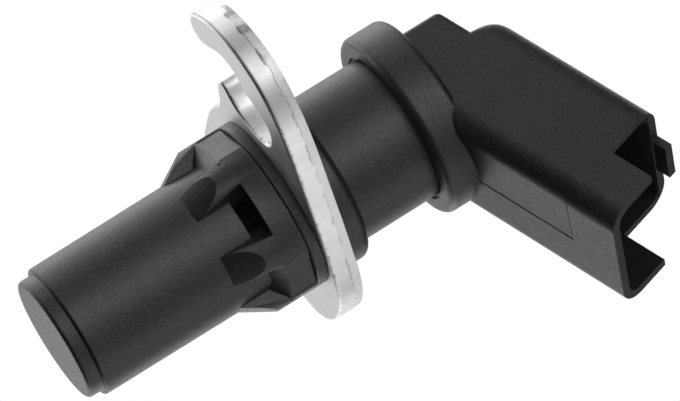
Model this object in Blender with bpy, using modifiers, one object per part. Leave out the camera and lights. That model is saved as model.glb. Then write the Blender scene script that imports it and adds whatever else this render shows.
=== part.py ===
# Crankshaft position sensor with a steel mounting bracket and a two-way plug shroud
#
# Frame: X runs along the sensor body, from the sensing tip towards the collar.
# Z is the side to which the plug shroud bends, and Y is across it.
# The centre of the sensing face is the origin.

import bmesh
import bpy
import math
from mathutils import Vector

# Fits
GAP = 0.0003                # clearance between two pieces that touch
OVER = 0.0015               # how far a cutter runs past the wall that it cuts
FACETS = 72                 # facets round the body

# Nose housing
NOSE_RADIUS = 0.0090        # at the cage
NOSE_TAPER = 0.0001         # the nose widens a little towards the cage, as moulded
NOSE_FRONT_RADIUS = NOSE_RADIUS - NOSE_TAPER
NOSE_SKIN = 0.0014          # side wall
NOSE_BORE = NOSE_RADIUS - NOSE_SKIN
TIP_STEP = 0.0007
TIP_RADIUS = NOSE_FRONT_RADIUS - TIP_STEP   # raised disc at the sensing face
TIP_HEIGHT = 0.0020
TIP_EDGE = 0.0005           # rounding round the sensing face
NOSE_WALL = 0.0013          # end wall behind the sensing face
NOSE_EDGE = 0.00025

# Cage at the back of the nose housing
RIB_RISE = 0.00245
RIB_SINK = 0.0008           # how far a rib reaches into the nose wall
CAGE_RADIUS = NOSE_RADIUS + RIB_RISE
RAMP_START = 0.0212
RAMP_LENGTH = 0.0042
RAMP_END = RAMP_START + RAMP_LENGTH
WINDOW_START = RAMP_END + 0.0004    # the nose cylinder ends here between the ribs
CAGE_RING_START = 0.02745   # the ring that joins the six ribs
CAGE_RING_LENGTH = 0.00345
CAGE_END = CAGE_RING_START + CAGE_RING_LENGTH
RING_FLAT_DROP = 0.0004
CAGE_RING_FLAT = CAGE_RADIUS - RING_FLAT_DROP   # distance of the flats between the ribs from the axis
WINDOW_FLOOR = NOSE_BORE - 0.0006
RIB_COUNT = 6
RIB_WIDTH = 0.0044
RIB_ROUND = 0.0011          # rounding along both edges of a rib's crown
CAGE_TURN = math.radians(0.44)   # angle of the first rib from Y towards Z
OPEN_WINDOWS = (0, 3)       # windows with no sloped floor, counted from the first rib

# Mounting bracket
FLANGE_FRONT = CAGE_END + 0.00025
FLANGE_LENGTH = 0.0012
PLATE_FRONT = FLANGE_FRONT + FLANGE_LENGTH + GAP / 2
PLATE_THICKNESS = 0.0035
PLATE_BORE = 0.0097
OUTLINE_UNIT = 0.001        # the bracket's outline is drawn in millimetres

# Rear housing
FLANGE_RADIUS = CAGE_RADIUS
FLANGE_EDGE = 0.0002
HUB_RADIUS = PLATE_BORE - GAP
RING_RADIUS = FLANGE_RADIUS - 0.0001
RING_END = 0.0390
RING_ROUND = 0.0012
BARREL_RADIUS = 0.0097
COLLAR_RADIUS = 0.0125
COLLAR_START = 0.0499
COLLAR_END = 0.0555
COLLAR_ROUND = 0.0010
SPIGOT_RADIUS = NOSE_BORE - GAP
SPIGOT_START = 0.0250

# Plug shroud, drawn along its own axis from where it crosses the body's axis
BEND = math.radians(73.45)
CROSSING = 0.05845
NEAR_FACE = -0.0078         # faces the sensing tip
FAR_FACE = 0.00815
HALF_WIDTH = 0.00973
CORNER = 0.0032
ELBOW_FAR_FACE = 0.0041     # the flat-sided block between the collar and the shroud
ELBOW_HALF_WIDTH = HALF_WIDTH - 0.00013
ELBOW_UNDERSIDE = -0.0051
ELBOW_EDGE = 0.0008
ELBOW_TOP = 0.0060          # the block ends here, inside the shroud
ELBOW_ROOT = COLLAR_END - 0.0021
SHROUD_WALL = 0.0012
SHROUD_END = 0.0264
LIP_END = 0.03275           # the near half runs on beyond the far half
LIP_SPLIT = -0.0001
SOCKET_FLOOR = 0.0080
TAB_REACH = 0.00216
TAB_HALF_WIDTH = 0.0030
TAB_THICKNESS = 0.0011

# Inside the nose
POLE_RADIUS = 0.0020
POLE_START = NOSE_WALL + GAP
POLE_END = 0.0165
MAGNET_RADIUS = 0.0036
MAGNET_LENGTH = 0.0050
BOBBIN_START = NOSE_WALL + GAP
BOBBIN_END = 0.0165
BOBBIN_HUB = 0.0028
BOBBIN_FLANGE = NOSE_BORE - GAP
BOBBIN_FLANGE_THICKNESS = 0.0010
WINDING_RADIUS = NOSE_BORE - 0.0016
TAPE_THICKNESS = 0.0004
RESIN_RADIUS = NOSE_BORE - GAP

# Terminals
PIN_OFFSET = 0.0026         # each terminal from the middle plane
PIN_THICKNESS = 0.0008
PIN_WIDTH = 0.0028
PIN_START = 0.0232
PIN_END = 0.0200            # along the shroud
LEAD_RADIUS = 0.0004
LEAD_HEIGHT = MAGNET_RADIUS + 0.0010    # of the straight run above the magnet
LEAD_DROP = 0.0013          # the lead turns down this far before the terminal starts
LEAD_TURN = 0.0008
LEAD_FOOT_TURN = 0.0006

# Spigot seal
SEAL_STATION = 0.0292
SEAL_WIRE = 0.0006
SEAL_SQUEEZE = 0.0001

MODEL = "Crankshaft position sensor"


def clear_scene():
    for old in list(bpy.data.objects):
        bpy.data.objects.remove(old, do_unlink=True)
    for old in list(bpy.data.collections):
        bpy.data.collections.remove(old)


def new_collection(name):
    made = bpy.data.collections.new(name)
    bpy.context.scene.collection.children.link(made)
    return made


def material(name, colour, metallic, roughness):
    made = bpy.data.materials.new(name)
    made.use_nodes = True
    shader = made.node_tree.nodes["Principled BSDF"]
    shader.inputs["Base Color"].default_value = (*colour, 1.0)
    shader.inputs["Metallic"].default_value = metallic
    shader.inputs["Roughness"].default_value = roughness
    made.diffuse_color = (*colour, 1.0)
    return made


def add_object(name, mesh, collection, finish=None):
    made = bpy.data.objects.new(name, mesh)
    collection.objects.link(made)
    if finish is not None:
        mesh.materials.append(finish)
    return made


def helper(made):
    made.hide_render = True
    made.display_type = "WIRE"
    return made


def to_mesh(name, bm):
    bmesh.ops.remove_doubles(bm, verts=bm.verts, dist=1e-7)
    bmesh.ops.recalc_face_normals(bm, faces=bm.faces)
    mesh = bpy.data.meshes.new(name)
    bm.to_mesh(mesh)
    bm.free()
    return mesh


def turned(name, profile, collection, finish=None, steps=FACETS):
    """A solid turned round X from (station, radius) points."""
    mesh = bpy.data.meshes.new(name)
    spread = sum(a[0] * b[1] - b[0] * a[1] for a, b in zip(profile, profile[1:] + profile[:1]))
    ordered = profile if spread > 0.0 else profile[::-1]
    points = [(station, 0.0, radius) for station, radius in ordered]
    edges = [(k, k + 1) for k in range(len(points) - 1)]
    if min(radius for station, radius in profile) > 0.0:
        edges.append((len(points) - 1, 0))
    mesh.from_pydata(points, edges, [])
    made = add_object(name, mesh, collection, finish)
    screw = made.modifiers.new("Turn", "SCREW")
    screw.axis = "X"
    screw.steps = steps
    screw.render_steps = steps
    screw.use_merge_vertices = True
    screw.merge_threshold = 0.00001
    screw.use_smooth_shade = False
    return made


def prism(name, outline, low, high, place, collection, finish=None):
    """A solid from a flat outline; place(p, q, height) gives each point."""
    bm = bmesh.new()
    bottom = [bm.verts.new(place(p, q, low)) for p, q in outline]
    top = [bm.verts.new(place(p, q, high)) for p, q in outline]
    bm.faces.new(bottom)
    bm.faces.new(top)
    count = len(outline)
    for k in range(count):
        bm.faces.new((bottom[k], bottom[(k + 1) % count], top[(k + 1) % count], top[k]))
    return add_object(name, to_mesh(name, bm), collection, finish)


def loft(name, sections, collection, finish=None):
    """A solid through closed sections that have the same number of points."""
    bm = bmesh.new()
    rings = [[bm.verts.new(point) for point in section] for section in sections]
    for first, second in zip(rings, rings[1:]):
        count = len(first)
        for k in range(count):
            bm.faces.new((first[k], first[(k + 1) % count], second[(k + 1) % count], second[k]))
    bm.faces.new(rings[0])
    bm.faces.new(rings[-1])
    return add_object(name, to_mesh(name, bm), collection, finish)


def boolean(target, other, operation):
    made = target.modifiers.new(other.name, "BOOLEAN")
    made.operation = operation
    made.object = other
    made.solver = "EXACT"
    return made


def smooth(made, angle=35.0):
    """Rounded faces shade smooth, and real edges stay sharp."""
    mesh = made.data
    mesh.shade_smooth()
    mesh.set_sharp_from_angle(angle=math.radians(angle))


def rounded_rectangle(near, far, half, corner, steps=7):
    """Points (t, m) round a rectangle with rounded corners."""
    corners = (
        (far - corner, half - corner, 0.0),
        (near + corner, half - corner, 90.0),
        (near + corner, corner - half, 180.0),
        (far - corner, corner - half, 270.0),
    )
    points = []
    for centre_t, centre_m, start in corners:
        for k in range(steps + 1):
            angle = math.radians(start + 90.0 * k / steps)
            points.append((centre_t + corner * math.cos(angle), centre_m + corner * math.sin(angle)))
    return points


def on_shroud(t, m, along):
    """A point of the shroud: t towards its far face, m across, along its axis."""
    x = CROSSING + along * math.cos(BEND) + t * math.sin(BEND)
    z = along * math.sin(BEND) - t * math.cos(BEND)
    return Vector((x, m, z))


def shroud_section(near, far, half, corner, along):
    return [on_shroud(t, m, along) for t, m in rounded_rectangle(near, far, half, corner)]


def smooth_outline(knots, steps):
    """A closed smooth curve through the knots."""
    points = []
    count = len(knots)
    for k in range(count):
        before = Vector(knots[k - 1])
        start = Vector(knots[k])
        end = Vector(knots[(k + 1) % count])
        after = Vector(knots[(k + 2) % count])
        for j in range(steps):
            f = j / steps
            pull = (end - before) * 0.5
            push = (after - start) * 0.5
            a = 2 * f**3 - 3 * f**2 + 1
            b = f**3 - 2 * f**2 + f
            c = -2 * f**3 + 3 * f**2
            d = f**3 - f**2
            points.append(tuple(start * a + pull * b + end * c + push * d))
    return points


clear_scene()
parts = new_collection(MODEL)
cutters = new_collection("Cutters")

black_plastic = material("black glass-filled nylon", (0.020, 0.020, 0.021), 0.0, 0.5)
nose_plastic = material("black nylon", (0.022, 0.022, 0.023), 0.0, 0.48)
zinc_steel = material("zinc-plated steel", (0.72, 0.73, 0.74), 1.0, 0.35)
soft_iron = material("soft iron", (0.35, 0.35, 0.36), 1.0, 0.4)
magnet_finish = material("sintered magnet", (0.12, 0.12, 0.13), 0.6, 0.5)
bobbin_plastic = material("natural nylon", (0.75, 0.70, 0.60), 0.0, 0.5)
copper = material("enamelled copper", (0.62, 0.22, 0.08), 0.9, 0.35)
tape_finish = material("winding tape", (0.75, 0.60, 0.12), 0.0, 0.45)
tin = material("tinned brass", (0.70, 0.66, 0.55), 1.0, 0.35)
resin_finish = material("potting resin", (0.05, 0.035, 0.02), 0.0, 0.35)
seal_rubber = material("seal rubber", (0.03, 0.03, 0.03), 0.0, 0.7)

# Nose housing: a closed cup with a raised sensing disc
nose_profile = [
    (0.0, 0.0),
    (0.0, TIP_RADIUS - TIP_EDGE),
    (TIP_EDGE * 0.3, TIP_RADIUS - TIP_EDGE * 0.3),
    (TIP_EDGE, TIP_RADIUS),
    (TIP_HEIGHT, TIP_RADIUS),
    (TIP_HEIGHT, NOSE_FRONT_RADIUS - NOSE_EDGE),
    (TIP_HEIGHT + NOSE_EDGE, NOSE_FRONT_RADIUS),
    (RAMP_START, NOSE_RADIUS),
    (CAGE_END, NOSE_RADIUS),
    (CAGE_END, NOSE_BORE),
    (NOSE_WALL, NOSE_BORE),
    (NOSE_WALL, 0.0),
]
nose = turned("nose_housing", nose_profile, parts, nose_plastic)


def round_body(angle, radial, across):
    """Y and Z of a point at a distance along and across a direction round the body."""
    y = radial * math.cos(angle) - across * math.sin(angle)
    z = radial * math.sin(angle) + across * math.cos(angle)
    return y, z


def rib_points(angle, side):
    """The side outline of one rib: low inside, flat ramp, crown with rounded edges."""
    inner = NOSE_RADIUS - RIB_SINK
    base = math.sqrt(NOSE_RADIUS**2 - side**2) - 0.00005
    past = max(0.0, abs(side) - (RIB_WIDTH / 2 - RIB_ROUND))
    crown = math.sqrt(CAGE_RADIUS**2 - side**2) - RIB_ROUND + math.sqrt(RIB_ROUND**2 - past**2)
    slope = (CAGE_RADIUS - NOSE_RADIUS) / (RAMP_END - RAMP_START)
    outline = (
        (RAMP_START - 1.5 * RIB_SINK, inner),
        (RAMP_START, base),
        (RAMP_START + (crown - base) / slope, crown),
        (CAGE_END, crown),
        (CAGE_END, inner),
    )
    return [Vector((x, *round_body(angle, radial, side))) for x, radial in outline]


def rib_sides():
    """Stations across a rib, closer together where its edges are rounded."""
    flat = RIB_WIDTH / 2 - RIB_ROUND
    turns = [math.radians(15.0 * k) for k in range(1, 7)]
    edge = [flat + RIB_ROUND * math.sin(turn) for turn in turns]
    return [-side for side in reversed(edge)] + [-flat, 0.0, flat] + edge


rib_angles = [CAGE_TURN + k * 2 * math.pi / RIB_COUNT for k in range(RIB_COUNT)]
for k, angle in enumerate(rib_angles):
    rib = helper(loft("Rib %d" % (k + 1), [rib_points(angle, side) for side in rib_sides()], cutters))
    boolean(nose, rib, "UNION")

# The ring between the ribs, with a sloped front under each closed window
for k, angle in enumerate(rib_angles):
    middle = angle + math.pi / RIB_COUNT
    half = CAGE_RADIUS * math.sin(math.pi / RIB_COUNT) - RIB_WIDTH / 8
    if k in OPEN_WINDOWS:
        front = ((CAGE_RING_START, NOSE_RADIUS - RIB_SINK), (CAGE_RING_START, CAGE_RING_FLAT))
    else:
        front = ((WINDOW_START, NOSE_RADIUS - NOSE_SKIN / 2), (WINDOW_START, NOSE_RADIUS - NOSE_TAPER),
                 (CAGE_RING_START, CAGE_RING_FLAT))
    low = front[0][1]
    outline = front + ((CAGE_END, CAGE_RING_FLAT), (CAGE_END, low))
    block = helper(prism("Ring block %d" % (k + 1), outline, -half, half,
                         lambda x, radial, side, a=middle: Vector((x, *round_body(a, radial, side))),
                         cutters))
    boolean(nose, block, "UNION")

cage_trim = helper(turned("Cage trim", [
    (RAMP_START - OVER, CAGE_RADIUS),
    (RAMP_START - OVER, CAGE_RADIUS + RIB_RISE),
    (CAGE_END + OVER, CAGE_RADIUS + RIB_RISE),
    (CAGE_END + OVER, CAGE_RADIUS),
], cutters, steps=2 * FACETS))
boolean(nose, cage_trim, "DIFFERENCE")

for k in OPEN_WINDOWS:
    middle = rib_angles[k] + math.pi / RIB_COUNT
    half = CAGE_RADIUS * math.sin(math.pi / RIB_COUNT - math.asin(RIB_WIDTH / 2 / CAGE_RADIUS))
    outline = (
        (WINDOW_START, WINDOW_FLOOR),
        (WINDOW_START, CAGE_RADIUS),
        (CAGE_RING_START, CAGE_RADIUS),
        (CAGE_RING_START, WINDOW_FLOOR),
    )
    window = helper(prism("Window %d" % (k + 1), outline, -half, half,
                          lambda x, radial, side, a=middle: Vector((x, *round_body(a, radial, side))),
                          cutters))
    boolean(nose, window, "DIFFERENCE")

# Mounting bracket: a stamped plate, bored for the body, with a hooked slot for one bolt
plate_outline = (
    (0.6, -21.2), (3.9, -20.8), (7.3, -18.2), (10.2, -13.8), (11.9, -9.0), (12.4, -4.5),
    (12.0, 0.5), (11.3, 5.5), (10.4, 10.5), (9.5, 15.5), (8.5, 20.0), (7.0, 24.3),
    (4.4, 28.2), (0.9, 30.4), (-3.0, 30.9), (-7.0, 29.9), (-10.6, 27.7), (-12.2, 25.9),
    (-12.6, 24.1), (-12.0, 22.7), (-10.8, 22.1), (-9.0, 22.8), (-6.8, 24.3), (-4.6, 25.2),
    (-2.8, 24.9), (-1.5, 23.5), (-0.2, 22.4), (1.6, 21.9), (2.9, 21.3), (3.7, 19.9),
    (3.7, 18.0), (3.0, 16.0), (1.6, 14.3), (-0.4, 13.6), (-2.8, 13.5), (-4.8, 13.9),
    (-6.2, 14.9), (-7.1, 16.1), (-8.3, 16.4), (-9.2, 15.1), (-9.8, 12.9), (-10.2, 10.6),
    (-11.2, 8.2), (-12.9, 6.0), (-14.9, 2.9), (-16.4, -0.3), (-17.8, -3.6), (-19.4, -7.7),
    (-19.7, -11.8), (-17.8, -16.2), (-13.9, -18.9), (-9.2, -20.3), (-4.0, -21.0),
)
plate_points = smooth_outline([(u * OUTLINE_UNIT, m * OUTLINE_UNIT) for u, m in plate_outline], 3)
plate = prism("mounting_bracket", plate_points, PLATE_FRONT, PLATE_FRONT + PLATE_THICKNESS,
              lambda u, m, x: Vector((x, m, u)), parts, zinc_steel)
plate_bore = helper(turned("Bracket bore", [
    (PLATE_FRONT - OVER, 0.0),
    (PLATE_FRONT - OVER, PLATE_BORE),
    (PLATE_FRONT + PLATE_THICKNESS + OVER, PLATE_BORE),
    (PLATE_FRONT + PLATE_THICKNESS + OVER, 0.0),
], cutters))
boolean(plate, plate_bore, "DIFFERENCE")

# Rear housing: flange, hub through the bracket, ring, barrel and collar
plate_back = PLATE_FRONT + PLATE_THICKNESS
seal_groove = SPIGOT_RADIUS - 2 * SEAL_WIRE + SEAL_SQUEEZE
rear_profile = [
    (SPIGOT_START, 0.0),
    (SPIGOT_START, SPIGOT_RADIUS),
    (SEAL_STATION - SEAL_WIRE - GAP, SPIGOT_RADIUS),
    (SEAL_STATION - SEAL_WIRE - GAP, seal_groove - GAP),
    (SEAL_STATION + SEAL_WIRE + GAP, seal_groove - GAP),
    (SEAL_STATION + SEAL_WIRE + GAP, SPIGOT_RADIUS),
    (FLANGE_FRONT, SPIGOT_RADIUS),
    (FLANGE_FRONT, FLANGE_RADIUS - FLANGE_EDGE),
    (FLANGE_FRONT + FLANGE_EDGE, FLANGE_RADIUS),
    (PLATE_FRONT - GAP / 2, FLANGE_RADIUS),
    (PLATE_FRONT - GAP / 2, HUB_RADIUS),
    (plate_back + GAP / 2, HUB_RADIUS),
    (plate_back + GAP / 2, RING_RADIUS),
    (RING_END - RING_ROUND, RING_RADIUS),
    (RING_END - RING_ROUND * 0.3, RING_RADIUS - RING_ROUND * 0.3),
    (RING_END, RING_RADIUS - RING_ROUND),
    (RING_END, BARREL_RADIUS),
    (COLLAR_START, BARREL_RADIUS),
]
collar_turns = [math.radians(22.5 * k) for k in range(5)]
rear_profile += [
    (COLLAR_START + COLLAR_ROUND * (1 - math.cos(turn)),
     COLLAR_RADIUS - COLLAR_ROUND * (1 - math.sin(turn)))
    for turn in collar_turns
]
rear_profile += [
    (COLLAR_END - COLLAR_ROUND * (1 - math.sin(turn)),
     COLLAR_RADIUS - COLLAR_ROUND * (1 - math.cos(turn)))
    for turn in collar_turns
]
rear_profile.append((COLLAR_END, 0.0))
rear = turned("rear_housing", rear_profile, parts, black_plastic)

# Elbow: a block as wide as the shroud, from the collar to the far side of the bend
elbow_corner = (ELBOW_UNDERSIDE + ELBOW_FAR_FACE * math.cos(BEND)) / math.sin(BEND)
elbow_low = on_shroud(ELBOW_FAR_FACE, 0.0, elbow_corner)
elbow_high = on_shroud(ELBOW_FAR_FACE, 0.0, ELBOW_TOP)
elbow_outline = (
    (ELBOW_ROOT, ELBOW_UNDERSIDE),
    (elbow_low.x, ELBOW_UNDERSIDE),
    (elbow_high.x, elbow_high.z),
    (ELBOW_ROOT, elbow_high.z),
)
elbow = helper(prism("Elbow", elbow_outline, -ELBOW_HALF_WIDTH, ELBOW_HALF_WIDTH,
                     lambda x, z, y: Vector((x, y, z)), cutters))
elbow_edge = elbow.modifiers.new("Edge", "BEVEL")
elbow_edge.width = ELBOW_EDGE
elbow_edge.segments = 1
boolean(rear, elbow, "UNION")

# The shroud grows out of the elbow and fills out to its full depth
shroud_sections = (
    (-0.0030, NEAR_FACE + 0.0020, ELBOW_FAR_FACE - 0.0006, HALF_WIDTH - 0.0011),
    (0.0004, NEAR_FACE, ELBOW_FAR_FACE - 0.0002, HALF_WIDTH - 0.0004),
    (0.0010, NEAR_FACE, FAR_FACE - 0.0030, HALF_WIDTH),
    (0.0013, NEAR_FACE, FAR_FACE - 0.0023, HALF_WIDTH),
    (0.0016, NEAR_FACE, FAR_FACE - 0.0016, HALF_WIDTH),
    (0.0020, NEAR_FACE, FAR_FACE - 0.0009, HALF_WIDTH),
    (0.0025, NEAR_FACE, FAR_FACE - 0.0004, HALF_WIDTH),
    (0.0033, NEAR_FACE, FAR_FACE - 0.0001, HALF_WIDTH),
    (0.0043, NEAR_FACE, FAR_FACE, HALF_WIDTH),
    (LIP_END, NEAR_FACE, FAR_FACE, HALF_WIDTH),
)
shroud = helper(loft("Shroud", [
    shroud_section(near, far, half, CORNER, along) for along, near, far, half in shroud_sections
], cutters))
boolean(rear, shroud, "UNION")

trim_end = LIP_END + 2 * OVER
trim_far = FAR_FACE + 2 * OVER
far_trim_outline = (
    (SHROUD_END, LIP_SPLIT), (SHROUD_END, trim_far), (trim_end, trim_far), (trim_end, LIP_SPLIT),
)
far_trim = helper(prism("Far half trim", far_trim_outline, -HALF_WIDTH - OVER, HALF_WIDTH + OVER,
                        lambda along, t, m: on_shroud(t, m, along), cutters))
boolean(rear, far_trim, "DIFFERENCE")

tab_outline = (
    (SHROUD_END - 0.0020, FAR_FACE - TAB_THICKNESS),
    (SHROUD_END - 0.0020, FAR_FACE),
    (SHROUD_END + TAB_REACH, FAR_FACE),
    (SHROUD_END + TAB_REACH, FAR_FACE - TAB_THICKNESS),
)
tab = helper(prism("Latch tab", tab_outline, -TAB_HALF_WIDTH, TAB_HALF_WIDTH,
                   lambda along, t, m: on_shroud(t, m, along), cutters))
boolean(rear, tab, "UNION")

socket = helper(loft("Socket", [
    shroud_section(NEAR_FACE + SHROUD_WALL, FAR_FACE - SHROUD_WALL, HALF_WIDTH - SHROUD_WALL,
                   CORNER - SHROUD_WALL, along)
    for along in (SOCKET_FLOOR, LIP_END + OVER)
], cutters))
boolean(rear, socket, "DIFFERENCE")


# Terminals: two flat stampings that follow the bend from the coil to the socket
def terminal_outline(width, start, end):
    """The outline of one stamping in the bend plane, as (x, z)."""
    half = width / 2
    lower = (start, -half)
    upper = (start, half)
    tangent = half * math.tan(BEND / 2)
    outer_turn = (CROSSING + tangent, -half)
    inner_turn = (CROSSING - tangent, half)
    tip_outer = on_shroud(half, 0.0, end)
    tip_inner = on_shroud(-half, 0.0, end)
    return (lower, outer_turn, (tip_outer.x, tip_outer.z), (tip_inner.x, tip_inner.z), inner_turn, upper)


for index, side in ((1, -1.0), (2, 1.0)):
    middle = side * PIN_OFFSET
    low = middle - PIN_THICKNESS / 2
    high = middle + PIN_THICKNESS / 2
    prism("terminal_%d" % index, terminal_outline(PIN_WIDTH, PIN_START, PIN_END), low, high,
          lambda x, z, y: Vector((x, y, z)), parts, tin)
    tunnel = helper(prism("Terminal slot %d" % index,
                          terminal_outline(PIN_WIDTH + 2 * GAP, SPIGOT_START - OVER, SOCKET_FLOOR + OVER),
                          low - GAP, high + GAP, lambda x, z, y: Vector((x, y, z)), cutters))
    boolean(rear, tunnel, "DIFFERENCE")

# Coil set, potted in the nose
turned("pole_piece", [
    (POLE_START, 0.0),
    (POLE_START, POLE_RADIUS),
    (POLE_END, POLE_RADIUS),
    (POLE_END, 0.0),
], parts, soft_iron, steps=36)

bobbin = turned("coil_bobbin", [
    (BOBBIN_START, POLE_RADIUS + GAP),
    (BOBBIN_START, BOBBIN_FLANGE),
    (BOBBIN_START + BOBBIN_FLANGE_THICKNESS, BOBBIN_FLANGE),
    (BOBBIN_START + BOBBIN_FLANGE_THICKNESS, BOBBIN_HUB),
    (BOBBIN_END - BOBBIN_FLANGE_THICKNESS, BOBBIN_HUB),
    (BOBBIN_END - BOBBIN_FLANGE_THICKNESS, BOBBIN_FLANGE),
    (BOBBIN_END, BOBBIN_FLANGE),
    (BOBBIN_END, POLE_RADIUS + GAP),
], parts, bobbin_plastic, steps=48)

winding_start = BOBBIN_START + BOBBIN_FLANGE_THICKNESS + GAP
winding_end = BOBBIN_END - BOBBIN_FLANGE_THICKNESS - GAP
turned("coil_winding", [
    (winding_start, BOBBIN_HUB + GAP),
    (winding_start, WINDING_RADIUS),
    (winding_end, WINDING_RADIUS),
    (winding_end, BOBBIN_HUB + GAP),
], parts, copper, steps=48)

turned("winding_tape", [
    (winding_start, WINDING_RADIUS + GAP),
    (winding_start, WINDING_RADIUS + GAP + TAPE_THICKNESS),
    (winding_end, WINDING_RADIUS + GAP + TAPE_THICKNESS),
    (winding_end, WINDING_RADIUS + GAP),
], parts, tape_finish, steps=48)

magnet_start = POLE_END + GAP
turned("magnet", [
    (magnet_start, 0.0),
    (magnet_start, MAGNET_RADIUS),
    (magnet_start + MAGNET_LENGTH, MAGNET_RADIUS),
    (magnet_start + MAGNET_LENGTH, 0.0),
], parts, magnet_finish, steps=48)

magnet_end = magnet_start + MAGNET_LENGTH
resin_end = SPIGOT_START - GAP
resin = turned("potting_resin", [
    (magnet_end + GAP, 0.0),
    (magnet_end + GAP, MAGNET_RADIUS + GAP),
    (magnet_start, MAGNET_RADIUS + GAP),
    (magnet_start, RESIN_RADIUS),
    (resin_end, RESIN_RADIUS),
    (resin_end, 0.0),
], parts, resin_finish, steps=48)


def wire(name, route, radius, collection, finish=None):
    """A round wire along a polyline, with rounded turns."""
    curve = bpy.data.curves.new(name, "CURVE")
    curve.dimensions = "3D"
    curve.bevel_depth = radius
    curve.bevel_resolution = 3
    curve.use_fill_caps = True
    spline = curve.splines.new("POLY")
    spline.points.add(len(route) - 1)
    for point, place in zip(spline.points, route):
        point.co = (*place, 1.0)
    drawn = bpy.data.objects.new(name + " curve", curve)
    collection.objects.link(drawn)
    bpy.context.view_layer.update()
    graph = bpy.context.evaluated_depsgraph_get()
    mesh = bpy.data.meshes.new_from_object(drawn.evaluated_get(graph))
    bpy.data.objects.remove(drawn, do_unlink=True)
    bm = bmesh.new()
    bm.from_mesh(mesh)
    bpy.data.meshes.remove(mesh)
    return add_object(name, to_mesh(name, bm), collection, finish)


for index, side in ((1, -1.0), (2, 1.0)):
    across = side * PIN_OFFSET
    seat = PIN_WIDTH / 2 + LEAD_RADIUS + GAP
    start = winding_end + GAP + LEAD_RADIUS / 4
    route = [(start, across, LEAD_HEIGHT)]
    for k in range(7):
        turn = math.radians(15.0 * k)
        route.append((PIN_START - LEAD_DROP + LEAD_TURN * math.sin(turn), across,
                      LEAD_HEIGHT - LEAD_TURN * (1 - math.cos(turn))))
    for k in range(7):
        turn = math.radians(15.0 * k)
        route.append((PIN_START - LEAD_DROP + LEAD_TURN + LEAD_FOOT_TURN * (1 - math.cos(turn)), across,
                      seat + LEAD_FOOT_TURN - LEAD_FOOT_TURN * math.sin(turn)))
    route.append((resin_end - LEAD_RADIUS, across, seat))
    wire("coil_lead_%d" % index, route, LEAD_RADIUS, parts, copper)
    sleeve = helper(wire("Lead hole %d" % index, [(route[0][0] - LEAD_RADIUS, *route[0][1:]), *route[1:],
                                                  (resin_end + OVER, across, seat)],
                         LEAD_RADIUS + GAP, cutters))
    boolean(resin, sleeve, "DIFFERENCE")
    boolean(bobbin, sleeve, "DIFFERENCE")
    clear = helper(prism("Terminal clearance %d" % index,
                         ((PIN_START - GAP, -PIN_WIDTH / 2 - GAP), (resin_end + OVER, -PIN_WIDTH / 2 - GAP),
                          (resin_end + OVER, PIN_WIDTH / 2 + GAP), (PIN_START - GAP, PIN_WIDTH / 2 + GAP)),
                         across - PIN_THICKNESS / 2 - GAP, across + PIN_THICKNESS / 2 + GAP,
                         lambda x, z, y: Vector((x, y, z)), cutters))
    boolean(resin, clear, "DIFFERENCE")

seal_centre = seal_groove + SEAL_WIRE
turned("spigot_seal", [
    (SEAL_STATION + SEAL_WIRE * math.cos(math.radians(30.0 * k)),
     seal_centre + SEAL_WIRE * math.sin(math.radians(30.0 * k)))
    for k in range(12)
], parts, seal_rubber, steps=60)

for node in parts.objects:
    smooth(node)
bpy.context.view_layer.update()
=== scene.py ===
"""Visual model of a crankshaft position sensor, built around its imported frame."""

import logging
import math
from dataclasses import dataclass
from enum import Enum
from typing import Dict, List, Sequence, Tuple

import bmesh
import bpy
from mathutils import Matrix, Vector, noise


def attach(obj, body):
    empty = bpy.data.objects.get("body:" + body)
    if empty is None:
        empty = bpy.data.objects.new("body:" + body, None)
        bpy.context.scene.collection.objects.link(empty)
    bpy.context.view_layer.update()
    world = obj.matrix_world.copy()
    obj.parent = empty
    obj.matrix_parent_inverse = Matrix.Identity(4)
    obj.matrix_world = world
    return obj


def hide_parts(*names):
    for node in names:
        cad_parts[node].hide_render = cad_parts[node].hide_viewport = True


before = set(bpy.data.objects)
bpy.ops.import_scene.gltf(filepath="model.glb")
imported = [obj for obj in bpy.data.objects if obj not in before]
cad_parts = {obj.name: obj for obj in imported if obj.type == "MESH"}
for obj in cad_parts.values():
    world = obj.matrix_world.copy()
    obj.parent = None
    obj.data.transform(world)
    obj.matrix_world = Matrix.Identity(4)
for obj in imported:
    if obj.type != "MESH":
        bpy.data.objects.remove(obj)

LOG = logging.getLogger("sensor")
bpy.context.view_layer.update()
BODY = "root"
MM = 0.001
GAP = 0.3 * MM
OVER = 1.5 * MM
MERGE = 1.0e-6
CORNER_STEPS = 6
EDGE_STEPS = 5
FULL_TURN = 2.0 * math.pi

Pair = Tuple[float, float]
Corner = Tuple[float, float, float]
Slab = Tuple[Corner, float, float]
Colour = Tuple[float, float, float]


class Join(Enum):
    """How one solid acts on another."""

    ADD = "UNION"
    CUT = "DIFFERENCE"


class Slot(Enum):
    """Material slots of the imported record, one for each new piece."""

    NOSE = "black_nylon"
    REAR = "glass_filled_nylon"
    BRACKET = "zinc_plated_steel"


# ---------------------------------------------------------------- mesh work


def finish_mesh(bm: bmesh.types.BMesh, name: str) -> bpy.types.Mesh:
    """Close a bmesh into a mesh whose faces point outwards.

    Args:
        bm: The bmesh, freed here.
        name: Name of the new mesh.

    Returns:
        The new mesh.
    """
    bmesh.ops.remove_doubles(bm, verts=bm.verts, dist=MERGE)
    bmesh.ops.recalc_face_normals(bm, faces=bm.faces)
    mesh = bpy.data.meshes.new(name)
    bm.to_mesh(mesh)
    bm.free()
    return mesh


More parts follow.
